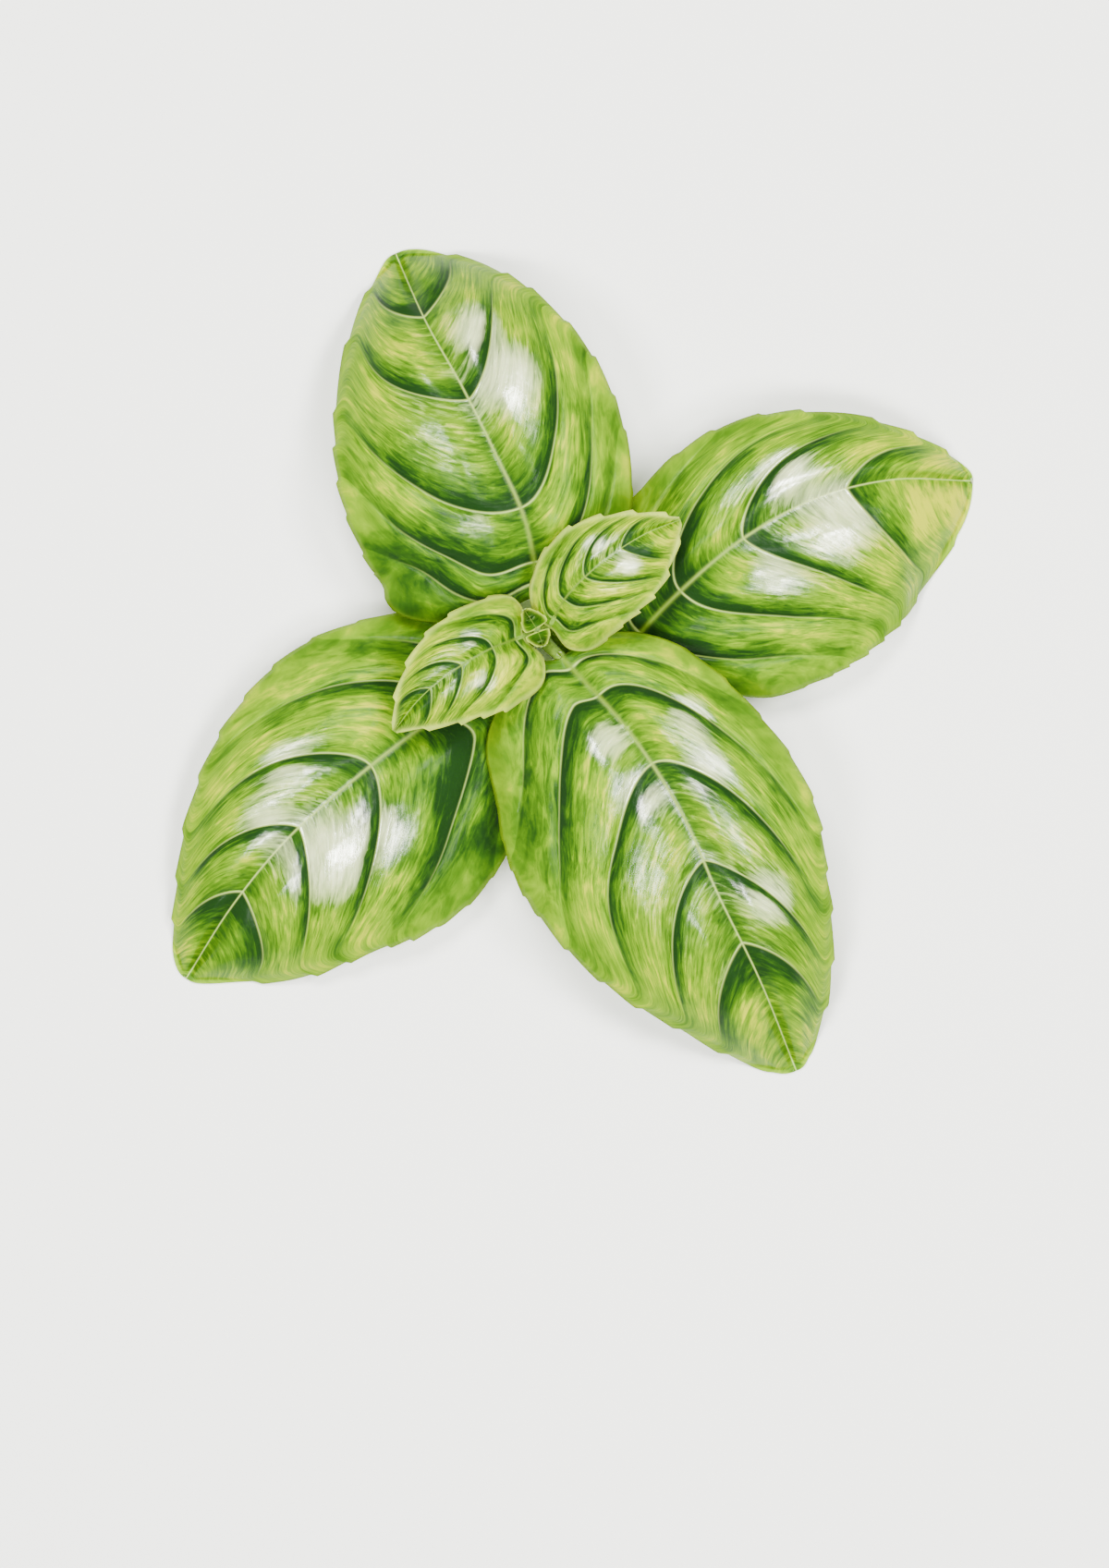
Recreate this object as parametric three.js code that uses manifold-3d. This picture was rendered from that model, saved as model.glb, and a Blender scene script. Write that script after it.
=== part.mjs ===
// Basil sprig: the leafy tip of a sweet basil shoot, cut a little below its lowest pair of large leaves.
// It lies as such a tip does when it is put down: the four large leaves arch outwards and rest on the
// surface near their points, and the short stem stands between them with its cut end just clear of it.
// The leaves grow in crossed pairs: a lower large pair, an upper large pair, a small pair, and the bud.
// Millimetres, +Z up. Leaf points are measured from the stem's axis, x to the right and y away.

import * as THREE from 'three';
import { mergeVertices } from 'three/addons/utils/BufferGeometryUtils.js';
import Module from 'manifold-3d';

const wasm = await Module();
wasm.setup();

// The stem: square, with hollow faces and a swelling where each pair of leaves grows from it.
const STEM_BOTTOM = 0.4;
const STEM_TOP = 21.6;
const STEM_RADIUS_BOTTOM = 2.1;
const STEM_RADIUS_TOP = 1;
const STEM_SQUARENESS = 0.1;
const STEM_CORNER_ANGLE = THREE.MathUtils.degToRad(60);
const STEM_SIDES = 16;
const STEM_RING_SPACING = 1.1;
const NODE_HEIGHTS = [5.6, 12.6, 19.4];
const NODE_SWELLING = 0.5;
const NODE_SPREAD = 1.2;
const JOINT_GAP = 0.3;

// What every blade shares.
const BLADE_END_WIDTH = 0.4;      // half-width of the blunt end at a blade's base and tip
const VEIN_FAN = 0.045;           // the stretch of midrib over which the lowest veins fan out
const COLUMNS = [0, 0.06, 0.28, 0.5, 0.69, 0.84, 0.94, 1];
const PILLOW_SLOPE = 0.16;        // the height of a pillow for its width, where the veins crowd together
const LEAST_THICKNESS = 0.6;

const FRESH_GREEN = 0x6ea52c;
const DEEP_GREEN = 0x4f8a24;
const YOUNG_GREEN = 0xa3c64a;
const STEM_GREEN = 0x9dbb56;

// A leaf's midrib is six points, evenly spaced in plan from the blade's base to its tip. left and right
// are the blade's half-widths, facing the tip, at seven stations spaced as the cosine of equal angles.
// veins are the places on the midrib, from 0 at the base to 1 at the tip, where side veins leave it.
// lobes are how far the base of each half reaches back past the stalk, the left half first, and
// lobeReach is how far out from the midrib a lobe is full.
const LEAVES = [
  {
    name: 'leaf_lower_left',
    colour: DEEP_GREEN,
    stalk: [[-1.2, -0.5, 5.4], [-3.6, -3.4, 7.4], [-7.1, -8.4, 9.2]],
    midrib: [
      [-7.1, -8.4, 9.4], [-18.1, -15.2, 12.3], [-28.4, -23.2, 13.2],
      [-37.9, -31.7, 12], [-46.3, -41.8, 7.8], [-53.6, -53, -1],
    ],
    left: [10.5, 20.3, 25.2, 24.8, 20.4, 14.6, 5],
    right: [13.5, 18, 21, 19.5, 14.2, 8, 3.8],
    veins: [0.025, 0.12, 0.335, 0.56, 0.76],
    lobes: [5, 0],
    lobeReach: 6,
    large: true,
  },
  {
    name: 'leaf_lower_right',
    colour: DEEP_GREEN,
    stalk: [[1.2, -0.4, 5.4], [6.6, -3.6, 7.2], [12.7, -3.6, 8.8]],
    midrib: [
      [12.7, -3.6, 9], [21.3, 5.5, 12.3], [31, 13.7, 14.2],
      [41.9, 19.8, 13.5], [53.9, 22.9, 9.8], [66.5, 23, -0.8],
    ],
    left: [7.4, 12, 15.6, 16, 11.9, 6.8, 3],
    right: [7.5, 19.2, 23.8, 24.8, 23, 18.2, 8.8],
    veins: [0.07, 0.21, 0.405, 0.685],
    lobes: [0, 0],
    lobeReach: 6,
    large: true,
  },
  {
    name: 'leaf_upper_back',
    colour: FRESH_GREEN,
    stalk: [[-0.2, 0.8, 12.6], [0, 2.8, 14.6], [0.4, 5.2, 17]],
    midrib: [
      [0.4, 5.2, 16.8], [-1.7, 16.2, 20.1], [-6.3, 26.6, 21.3],
      [-11.3, 36.7, 19.3], [-16.9, 46.9, 12.5], [-21.6, 57.7, -1.6],
    ],
    left: [20, 23.4, 24.5, 23.5, 19.2, 11, 4.1],
    right: [8, 15, 19.1, 19.8, 17.3, 12.9, 5.7],
    veins: [0.035, 0.09, 0.24, 0.56, 0.81],
    lobes: [2.6, 0],
    lobeReach: 9,
    large: true,
  },
  {
    name: 'leaf_upper_front',
    colour: FRESH_GREEN,
    stalk: [[0.4, -0.8, 12.6], [1.8, -2.4, 14.6], [3.8, -4.2, 17]],
    midrib: [
      [3.8, -4.2, 16.8], [13.5, -14.9, 20.8], [21.5, -27.1, 22.2],
      [27.4, -40.1, 20.4], [33.9, -53.3, 13.4], [39.6, -67.1, -1.6],
    ],
    left: [8.6, 14.2, 17.4, 18.8, 15.4, 9.8, 3.9],
    right: [15.5, 21.9, 26.3, 25.9, 20, 12.5, 5.4],
    veins: [0.03, 0.11, 0.29, 0.52, 0.71],
    lobes: [0, 2.6],
    lobeReach: 4,
    large: true,
  },
  {
    name: 'leaf_small_right',
    colour: YOUNG_GREEN,
    stalk: [[0.4, 0, 19.4], [1.1, 0.1, 20], [1.8, 0.3, 20.8]],
    midrib: [
      [1.8, 0.3, 21.2], [4.4, 4.8, 24.6], [8.1, 8.6, 26.2],
      [12.2, 11.8, 26.5], [16.7, 14.5, 25.6], [21.6, 16.5, 23.4],
    ],
    left: [3.2, 5.4, 7.1, 6.9, 4.8, 2.5, 0.9],
    right: [6.4, 8.5, 9.1, 9.1, 8.1, 5.6, 2.2],
    veins: [0.06, 0.18, 0.355, 0.62],
    lobes: [0, 1.8],
    lobeReach: 4.5,
    large: false,
  },
  {
    name: 'leaf_small_left',
    colour: YOUNG_GREEN,
    stalk: [[-0.4, -0.2, 19.4], [-1.2, -0.6, 20], [-2, -1, 20.6]],
    midrib: [
      [-2, -1, 21], [-6.6, -2.8, 24], [-10.9, -5.2, 25],
      [-14.9, -8, 24.6], [-18.5, -11.4, 23], [-21.5, -15.4, 20.4],
    ],
    left: [6.9, 8.8, 9.2, 8, 6.4, 3.9, 1.1],
    right: [5.8, 7.2, 7.4, 6.7, 4.7, 2.5, 0.8],
    veins: [0.05, 0.2, 0.42, 0.66],
    lobes: [2, 1.8],
    lobeReach: 4.5,
    large: false,
  },
];

// The relief of a blade: its margins hang below the midrib, each half swells, and the flesh between
// two side veins stands up as a pillow. Small leaves have the same relief at a smaller size.
// climb is how strongly the side veins sweep towards the tip, and half is half the thickness.
const LARGE_RELIEF = {
  droop: 0.26, swell: 1.3, pillow: 1.5, climb: 0.81, tooth: 0.5, pitch: 6,
  rowSpacing: 2.9, half: 0.4, columns: COLUMNS,
};
const SMALL_RELIEF = {
  droop: 0.2, swell: 0.5, pillow: 0.7, climb: 0.81, tooth: 0.5, pitch: 4.2,
  rowSpacing: 1.4, half: 0.36, columns: [0, 0.07, 0.33, 0.6, 0.82, 1],
};
const BUD_RELIEF = {
  droop: -0.45, swell: 0, pillow: 0, climb: 0.25, tooth: 0.15, pitch: 1,
  rowSpacing: 0.5, half: 0.3, columns: [0, 0.35, 0.7, 1],
};
const STALK_RADIUS = { large: [1.15, 0.75], small: [0.6, 0.4] };
const MIDRIB_RIDGE = 0.6;
const VEIN_RIDGE = 0.25;

const smooth = (x) => x * x * (3 - 2 * x);

// Uniform Catmull-Rom through a list of numbers, with straight run-outs at both ends.
function along(values, position) {
  const last = values.length - 1;
  const i = Math.min(Math.floor(position), last - 1);
  const f = position - i;
  const b = values[i];
  const c = values[i + 1];
  const a = i > 0 ? values[i - 1] : 2 * b - c;
  const d = i + 2 <= last ? values[i + 2] : 2 * c - b;
  return b + 0.5 * f * (c - a + f * (2 * a - 5 * b + 4 * c - d + f * (3 * (b - c) + d - a)));
}

function midribAt(leaf, t) {
  const position = t * (leaf.midrib.length - 1);
  return new THREE.Vector3(...[0, 1, 2].map((axis) => along(leaf.midrib.map((p) => p[axis]), position)));
}

function halfWidth(widths, t) {
  const all = [BLADE_END_WIDTH, ...widths, BLADE_END_WIDTH];
  const angle = Math.acos(THREE.MathUtils.clamp(1 - 2 * t, -1, 1));
  return Math.max(BLADE_END_WIDTH, along(all, (angle / Math.PI) * (all.length - 1)));
}

// Where the side vein that leaves the midrib at `start` has got to when it is `side` of the way out.
// Veins near the tip leave the midrib at a slant. Those near the base leave it squarely and bend late.
function veinClimb(relief, start, side) {
  const fan = 1 - Math.exp(-start / VEIN_FAN);
  const bend = 1.15 + 3.2 * Math.exp(-start / 0.19);
  return start + relief.climb * (1 - start) * fan * side ** bend * (1 - 0.3 * side ** 8);
}

function planLength(leaf) {
  const plan = leaf.midrib.map(([x, y]) => new THREE.Vector2(x, y));
  return plan.slice(1).reduce((sum, p, i) => sum + p.distanceTo(plan[i]), 0);
}

// Teeth point towards the tip: each stands out further and further, and then drops back to the margin.
function addTeeth(rows, length, relief) {
  let notch = 0;
  for (const row of rows) {
    const reached = veinClimb(relief, row.start, 1) * length;
    if (reached - notch > relief.pitch) notch = reached;
    const inside = reached > 0.06 * length && reached < 0.97 * length;
    row.tooth = inside ? (relief.tooth * (reached - notch)) / relief.pitch : 0;
  }
  return rows;
}

// The rows of a blade run out from the midrib as its side veins do. The zones lie between the veins.
function rowsOf(leaf, relief) {
  const bounds = [0, ...leaf.veins, 1];
  const length = planLength(leaf);
  const rows = [];
  for (let zone = 0; zone < bounds.length - 1; zone += 1) {
    const [from, to] = [bounds[zone], bounds[zone + 1]];
    const reach = Math.max(to - from, veinClimb(relief, to, 1) - veinClimb(relief, from, 1));
    const count = Math.max(3, Math.round((length * reach) / relief.rowSpacing));
    for (let k = 0; k < count; k += 1) {
      const share = k / count;
      let eased = share;
      if (zone === 0) eased = share ** 1.6;
      if (zone === bounds.length - 2) eased = 1 - (1 - share) ** 1.4;
      rows.push({ start: from + (to - from) * eased, share, from, to });
    }
  }
  rows.push({ start: 1, share: 0, from: 1, to: 1 });
  return addTeeth(rows, length, relief);
}

// The flesh between two side veins stands up, but less where the two run close together.
function pillowAt(leaf, relief, row, out, width) {
  const length = planLength(leaf);
  const apart = (veinClimb(relief, row.to, out) - veinClimb(relief, row.from, out)) * length;
  const lean = ((veinClimb(relief, row.start, out + 0.01) - veinClimb(relief, row.start, out)) * length) / (0.01 * width);
  const height = Math.min(relief.pillow, (PILLOW_SLOPE * apart) / Math.hypot(1, lean));
  return height * (1 - Math.abs(2 * row.share - 1) ** 2.2);
}

// A point of the blade's middle surface, and the way the blade faces there, its pillows left aside.
// side runs from -1 at the right margin to 1 at the left one.
function bladePoint(leaf, relief, row, side) {
  const out = Math.abs(side);
  const t = Math.min(1, veinClimb(relief, row.start, out));
  const middle = midribAt(leaf, t);
  const onward = midribAt(leaf, Math.min(1, t + 0.02)).sub(midribAt(leaf, Math.max(0, t - 0.02)));
  const ahead = onward.clone().setZ(0).normalize();
  const across = new THREE.Vector3(-ahead.y, ahead.x, 0);
  const width = halfWidth(side > 0 ? leaf.left : leaf.right, t);
  const swell = relief.swell * Math.min(1, width / 10) * smooth(Math.min(1, t / 0.2));
  const span = smooth(Math.min(1, out / 0.25)) * (1 - out ** 4);
  const lobe = leaf.lobes[side > 0 ? 0 : 1] * smooth(Math.min(1, (width * out) / leaf.lobeReach));
  const back = lobe * (1 - smooth(Math.min(1, t / 0.3)));
  const point = middle.clone().addScaledVector(across, width * side).addScaledVector(ahead, -back);
  point.z += Math.sin(Math.PI * out ** 0.8) * swell - relief.droop * width * out ** 2.2;
  point.z += pillowAt(leaf, relief, row, out, width) * span;
  if (out === 1) point.addScaledVector(across, row.tooth * Math.sign(side)).addScaledVector(ahead, row.tooth);
  const rise = (Math.PI * Math.cos(Math.PI * out ** 0.8) * swell) / width - 2.2 * relief.droop * out ** 1.2;
  const leftward = across.clone().setZ(rise * Math.sign(side));
  return { point, normal: onward.cross(leftward).normalize() };
}

// Each cell of the grid is split along its shorter diagonal, because the cells lean over near the margin.
// A blade is a grid of points thickened both ways along its normals, and flattened where it rests.
function blade(leaf, relief) {
  const sides = [...relief.columns.slice(1).reverse().map((s) => -s), ...relief.columns];
  const rows = rowsOf(leaf, relief);
  const grid = rows.map((row) => sides.map((side) => bladePoint(leaf, relief, row, side)));
  const wide = sides.length;
  const top = [];
  const under = [];
  grid.forEach((line, i) => line.forEach(({ point, normal }, j) => {
    const fade = 1 - rows[i].start;
    const vein = rows[i].share === 0 ? VEIN_RIDGE * (1 - Math.abs(sides[j])) * fade : 0;
    const rib = sides[j] === 0 ? MIDRIB_RIDGE * relief.pillow * (0.2 + 0.8 * fade) : 0;
    const below = point.clone().addScaledVector(normal, -relief.half - Math.max(vein, rib));
    const above = point.clone().addScaledVector(normal, relief.half);
    below.z = Math.max(below.z, 0);
    above.z = Math.max(above.z, below.z + LEAST_THICKNESS);
    top.push(above);
    under.push(below);
  }));
  const faces = [];
  const at = (i, j) => i * wide + j;
  const quad = (a, b, c, d) => faces.push(a, b, c, a, c, d);
  for (let i = 0; i < rows.length - 1; i += 1) {
    for (let j = 0; j < wide - 1; j += 1) {
      const corners = [at(i, j), at(i + 1, j), at(i + 1, j + 1), at(i, j + 1)];
      const shorter = top[corners[1]].distanceTo(top[corners[3]]) < top[corners[0]].distanceTo(top[corners[2]]);
      const [a, b, c, d] = shorter ? [...corners.slice(1), corners[0]] : corners;
      quad(a, b, c, d);
      quad(...[d, c, b, a].map((corner) => corner + top.length));
    }
  }
  const end = rows.length - 1;
  const rim = [
    ...rows.map((row, i) => at(i, 0)),
    ...sides.slice(1).map((side, j) => at(end, j + 1)),
    ...rows.slice(1).map((row, i) => at(end - 1 - i, wide - 1)),
    ...sides.slice(1, -1).map((side, j) => at(0, wide - 2 - j)),
  ];
  rim.forEach((p, i) => {
    const q = rim[(i + 1) % rim.length];
    quad(p, p + top.length, q + top.length, q);
  });
  return solidFrom([...top, ...under], faces);
}

// Rings of points joined into one closed body, with a flat cap at each end.
function loft(rings) {
  const count = rings[0].length;
  const faces = [];
  for (let i = 0; i < rings.length - 1; i += 1) {
    for (let j = 0; j < count; j += 1) {
      const next = (j + 1) % count;
      const [a, b] = [i * count + j, i * count + next];
      faces.push(a, b, b + count, a, b + count, a + count);
    }
  }
  const last = (rings.length - 1) * count;
  for (let j = 1; j < count - 1; j += 1) faces.push(0, j + 1, j, last, last + j, last + j + 1);
  return solidFrom(rings.flat(), faces);
}

// A leaf's stalk: round, tapering from the stem into the underside of the midrib.
function stalk(leaf, [thick, thin]) {
  const sunk = [0.04, 0.08].map((t) => midribAt(leaf, t).sub(new THREE.Vector3(0, 0, thin / 2)));
  const curve = new THREE.CatmullRomCurve3([...leaf.stalk.map((p) => new THREE.Vector3(...p)), ...sunk]);
  const steps = 8;
  const sides = 8;
  const frames = curve.computeFrenetFrames(steps);
  const rings = Array.from({ length: steps + 1 }, (_, i) => {
    const radius = THREE.MathUtils.lerp(thick, thin, i / steps);
    const centre = curve.getPointAt(i / steps);
    return Array.from({ length: sides }, (__, j) => {
      const angle = (2 * Math.PI * j) / sides;
      return centre.clone()
        .addScaledVector(frames.normals[i], radius * Math.cos(angle))
        .addScaledVector(frames.binormals[i], radius * Math.sin(angle));
    });
  });
  return loft(rings);
}

// The stem, made larger all round by `extra` where it is used to trim what grows from it.
function stem(extra) {
  const count = Math.round((STEM_TOP - STEM_BOTTOM) / STEM_RING_SPACING);
  const rings = Array.from({ length: count + 1 }, (_, i) => {
    const z = THREE.MathUtils.lerp(STEM_BOTTOM, STEM_TOP, i / count);
    const taper = THREE.MathUtils.lerp(STEM_RADIUS_BOTTOM, STEM_RADIUS_TOP, i / count);
    const swelling = NODE_HEIGHTS.reduce(
      (sum, height) => sum + NODE_SWELLING * Math.exp(-(((z - height) / NODE_SPREAD) ** 2)), 0,
    );
    const crown = i === count ? 0.6 : 1;
    const end = i === 0 ? -extra : extra * Number(i === count);
    return Array.from({ length: STEM_SIDES }, (__, j) => {
      const angle = (2 * Math.PI * j) / STEM_SIDES;
      const square = 1 + STEM_SQUARENESS * Math.cos(4 * (angle - STEM_CORNER_ANGLE));
      const radius = (taper + swelling) * square * crown + extra;
      return new THREE.Vector3(radius * Math.cos(angle), radius * Math.sin(angle), z + end);
    });
  });
  return loft(rings);
}

// The bud at the tip: two tiny leaves, cupped upwards and leaning over each other.
const BUD_LEAVES = [
  {
    name: 'bud_leaf_back',
    midrib: [
      [-0.1, 0.15, 22.4], [-0.4, 0.65, 22.6], [-0.75, 1.2, 23],
      [-1.1, 1.75, 23.7], [-1.5, 2.3, 24.6], [-1.85, 2.85, 25.6],
    ],
    left: [1.5, 1.7, 1.7, 1.5, 1.1, 0.7, 0.4],
    right: [1.8, 2, 1.9, 1.6, 1.2, 0.8, 0.4],
  },
  {
    name: 'bud_leaf_front',
    midrib: [
      [0.2, -0.4, 22.4], [0.35, -0.8, 22.6], [0.5, -1.25, 23],
      [0.65, -1.7, 23.6], [0.8, -2.1, 24.3], [0.95, -2.5, 25.1],
    ],
    left: [1.5, 1.6, 1.5, 1.3, 1, 0.7, 0.4],
    right: [1.8, 2, 1.9, 1.6, 1.2, 0.8, 0.4],
  },
];

function solidFrom(points, faces) {
  return new wasm.Manifold(new wasm.Mesh({
    numProp: 3,
    vertProperties: new Float32Array(points.flatMap((p) => [p.x, p.y, p.z])),
    triVerts: new Uint32Array(faces),
  }));
}

function meshOf(name, solid, colour, roughness) {
  const { vertProperties, triVerts } = solid.getMesh();
  const geometry = new THREE.BufferGeometry();
  geometry.setAttribute('position', new THREE.BufferAttribute(vertProperties, 3));
  geometry.setIndex(new THREE.BufferAttribute(triVerts, 1));
  const merged = mergeVertices(geometry, 1e-4);
  merged.computeVertexNormals();
  const mesh = new THREE.Mesh(merged, new THREE.MeshStandardMaterial({ color: colour, roughness, metalness: 0 }));
  mesh.name = name;
  return mesh;
}

const sprig = new THREE.Group();
const stemRoom = stem(JOINT_GAP);
sprig.add(meshOf('stem', stem(0), STEM_GREEN, 0.6));

for (const leaf of LEAVES) {
  const relief = leaf.large ? LARGE_RELIEF : SMALL_RELIEF;
  const radii = leaf.large ? STALK_RADIUS.large : STALK_RADIUS.small;
  const whole = blade(leaf, relief).add(stalk(leaf, radii)).subtract(stemRoom);
  sprig.add(meshOf(leaf.name, whole, leaf.colour, 0.35));
}

for (const leaf of BUD_LEAVES) {
  const whole = blade({ ...leaf, veins: [], lobes: [0, 0], lobeReach: 1 }, BUD_RELIEF).subtract(stemRoom);
  sprig.add(meshOf(leaf.name, whole, YOUNG_GREEN, 0.4));
}

// The frame's origin is on the surface, under the middle of the sprig.
const bounds = new THREE.Box3().setFromObject(sprig);
const middle = bounds.getCenter(new THREE.Vector3());
sprig.position.set(-middle.x, -middle.y, -bounds.min.z);

export default sprig;
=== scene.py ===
import math

import bmesh
import bpy
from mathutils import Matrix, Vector, noise


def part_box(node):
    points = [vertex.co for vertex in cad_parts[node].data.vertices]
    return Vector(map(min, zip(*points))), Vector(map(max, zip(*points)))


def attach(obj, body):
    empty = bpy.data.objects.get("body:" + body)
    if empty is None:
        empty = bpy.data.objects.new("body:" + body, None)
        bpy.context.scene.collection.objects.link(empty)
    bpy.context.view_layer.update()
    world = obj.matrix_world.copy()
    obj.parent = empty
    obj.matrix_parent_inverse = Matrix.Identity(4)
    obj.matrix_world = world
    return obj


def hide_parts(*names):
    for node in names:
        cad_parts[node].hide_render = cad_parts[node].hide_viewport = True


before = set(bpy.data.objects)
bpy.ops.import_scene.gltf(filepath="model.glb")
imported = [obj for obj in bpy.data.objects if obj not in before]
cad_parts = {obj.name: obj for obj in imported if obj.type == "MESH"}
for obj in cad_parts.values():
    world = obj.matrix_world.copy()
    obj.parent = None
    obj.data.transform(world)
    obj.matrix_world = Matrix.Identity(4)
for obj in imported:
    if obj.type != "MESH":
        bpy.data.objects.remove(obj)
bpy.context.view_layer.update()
MM = 0.001

# The camera looks straight down on the sprig from well above, with a long lens, as the picture does.
# The picture is 1200 by 1697 pixels at 0.14 mm a pixel, and the stem's axis is 581 across, 682 down.
MM_PER_PIXEL = 0.14
PICTURE = (1200, 1697)
AXIS_PIXEL = (581, 682)
CAMERA_HEIGHT = 1.6
LEAF_LEVEL = 0.013
SENSOR_HEIGHT = 36

stem_low, stem_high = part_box("stem")
AXIS = Vector(((stem_low[0] + stem_high[0]) / 2, (stem_low[1] + stem_high[1]) / 2, 0))
lens = bpy.data.cameras.new("plan_camera")
lens.sensor_fit = "VERTICAL"
lens.sensor_height = SENSOR_HEIGHT
lens.lens = SENSOR_HEIGHT * (CAMERA_HEIGHT - LEAF_LEVEL) / (PICTURE[1] * MM_PER_PIXEL * MM)
lens.clip_start = 0.05
lens.clip_end = 20
camera = bpy.data.objects.new("plan_camera", lens)
camera.location = AXIS + Vector((
    (PICTURE[0] / 2 - AXIS_PIXEL[0]) * MM_PER_PIXEL * MM,
    (AXIS_PIXEL[1] - PICTURE[1] / 2) * MM_PER_PIXEL * MM,
    CAMERA_HEIGHT,
))
bpy.context.scene.collection.objects.link(camera)
bpy.context.scene.camera = camera


# The leaf blades. A basil blade is a thin, glossy, slightly fleshy sheet. Its side veins leave the
# midrib in pairs, run out and sweep up along the margin, and lie in furrows on the upper face, while
# the flesh between them stands up as pillows. Underneath, the same veins stand proud as ribs.
def smooth(x):
    x = min(1.0, max(0.0, x))
    return x * x * (3 - 2 * x)


def along(values, position):
    """Uniform Catmull-Rom through numbers or vectors, with straight run-outs at both ends."""
    last = len(values) - 1
    i = min(int(position), last - 1)
    f = position - i
    b, c = values[i], values[i + 1]
    a = values[i - 1] if i > 0 else b * 2 - c
    d = values[i + 2] if i + 2 <= last else c * 2 - b
    return b + (c - a + (a * 2 - b * 5 + c * 4 - d + ((b - c) * 3 + d - a) * f) * f) * (0.5 * f)


# Midribs are six points in millimetres, measured from the stem's axis, evenly spaced from the blade's
# base to its tip. left and right are half-widths facing the tip, at seven stations spaced as the
# cosine of equal angles. veins are where the side veins leave the midrib, 0 at the base and 1 at the tip.
# lobes are how far the base of the left and the right half reaches back past the stalk, in full from
# lobe_reach outwards. shaded are patches of painted shade: x, y, radius and strength, with painted light
# below 0.
# The patches after them, given the same way, are where the cuticle is glossiest and a pale highlight is
# painted into the colour.
LARGE_LEAVES = {
    "leaf_lower_left": {
        "stalk": [(-1.2, -0.5, 5.4), (-3.6, -3.4, 7.4), (-7.1, -8.4, 9.2)],
        "midrib": [(-7.1, -8.4, 9.4), (-18.1, -15.2, 12.3), (-28.4, -23.2, 13.2),
                   (-37.9, -31.7, 12), (-46.3, -41.8, 7.8), (-53.6, -53, -1)],
        "left": [10.5, 20.3, 25.2, 24.8, 20.4, 14.6, 5],
        "right": [13.5, 18, 21, 19.5, 14.2, 8, 3.8],
        "veins": [0.025, 0.12, 0.335, 0.56, 0.76],
        "lobes": (5, 0),
        "lobe_reach": 6,
        "shaded": [(-9.9, -30.5, 11, 0.34), (-11.3, -16.5, 8, 0.34), (-47, -45, 6, 0.14)],
        "gloss_and_highlight_patches": [(-31.6, -34.7, 5.2, 0.9), (-23.5, -30, 3.6, 0.6), (-40.7, -29, 3, 0.6),
                  (-38, -20, 3.6, 0.5)],
    },
    "leaf_lower_right": {
        "stalk": [(1.2, -0.4, 5.4), (6.6, -3.6, 7.2), (12.7, -3.6, 8.8)],
        "midrib": [(12.7, -3.6, 9), (21.3, 5.5, 12.3), (31, 13.7, 14.2),
                   (41.9, 19.8, 13.5), (53.9, 22.9, 9.8), (66.5, 23, -0.8)],
        "left": [7.4, 12, 15.6, 16, 11.9, 6.8, 3],
        "right": [7.5, 19.2, 23.8, 24.8, 23, 18.2, 8.8],
        "veins": [0.07, 0.21, 0.405, 0.685],
        "lobes": (0, 0),
        "lobe_reach": 6,
        "shaded": [(22.3, -1.1, 9, 0.32), (15.3, 10, 7, 0.3), (57, 20, 9, -0.26)],
        "gloss_and_highlight_patches": [(46.5, 17.2, 4.6, 0.9), (37.7, 23.8, 3.2, 0.8), (36, 9, 3.4, 0.5)],
    },
    "leaf_upper_back": {
        "stalk": [(-0.2, 0.8, 12.6), (0, 2.8, 14.6), (0.4, 5.2, 17)],
        "midrib": [(0.4, 5.2, 16.8), (-1.7, 16.2, 20.1), (-6.3, 26.6, 21.3),
                   (-11.3, 36.7, 19.3), (-16.9, 46.9, 12.5), (-21.6, 57.7, -1.6)],
        "left": [20, 23.4, 24.5, 23.5, 19.2, 11, 4.1],
        "right": [8, 15, 19.1, 19.8, 17.3, 12.9, 5.7],
        "veins": [0.035, 0.09, 0.24, 0.56, 0.81],
        "lobes": (2.6, 0),
        "lobe_reach": 9,
        "shaded": [(-18.3, 8.7, 9, 0.36), (-5.7, 10.5, 6, 0.24)],
        "gloss_and_highlight_patches": [(-9.2, 45.5, 3, 0.9), (-4.5, 38, 4.2, 0.9), (-9, 16, 3, 0.4)],
    },
    "leaf_upper_front": {
        "stalk": [(0.4, -0.8, 12.6), (1.8, -2.4, 14.6), (3.8, -4.2, 17)],
        "midrib": [(3.8, -4.2, 16.8), (13.5, -14.9, 20.8), (21.5, -27.1, 22.2),
                   (27.4, -40.1, 20.4), (33.9, -53.3, 13.4), (39.6, -67.1, -1.6)],
        "left": [8.6, 14.2, 17.4, 18.8, 15.4, 9.8, 3.9],
        "right": [15.5, 21.9, 26.3, 25.9, 20, 12.5, 5.4],
        "veins": [0.03, 0.11, 0.29, 0.52, 0.71],
        "lobes": (0, 2.6),
        "lobe_reach": 4,
        "shaded": [(3, -30.5, 7, 0.2), (26, -46, 7, 0.12)],
        "gloss_and_highlight_patches": [(10.6, -16.5, 3.4, 0.8), (15.5, -25, 3.4, 0.9), (23, -13, 3.8, 0.8),
                  (25.5, -21, 3.4, 0.7), (35.5, -40.5, 3.4, 0.7)],
    },
}
# A blade's form, in millimetres. Margins droop, each half swells up, the flesh between side veins
# stands up as pillows, and climb is how far a side vein sweeps up the blade on its way to the margin.
# pitch is the spacing of the teeth. The grid has rows_a_zone rows between two side veins.
LARGE_BLADE = {
    "droop": 0.26, "swell": 1.3, "pillow": 1.5, "climb": 0.81, "tooth": 0.42, "pitch": 6.0,
    "reach_down": 0.4, "thickness": 0.42, "rib_depth": 1.0, "vein_width": 0.2, "midrib_width": 0.52,
    "rows_a_zone": 38, "half_columns": 46, "unevenness": 0.22, "pale_margin": 0.3,
}
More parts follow.
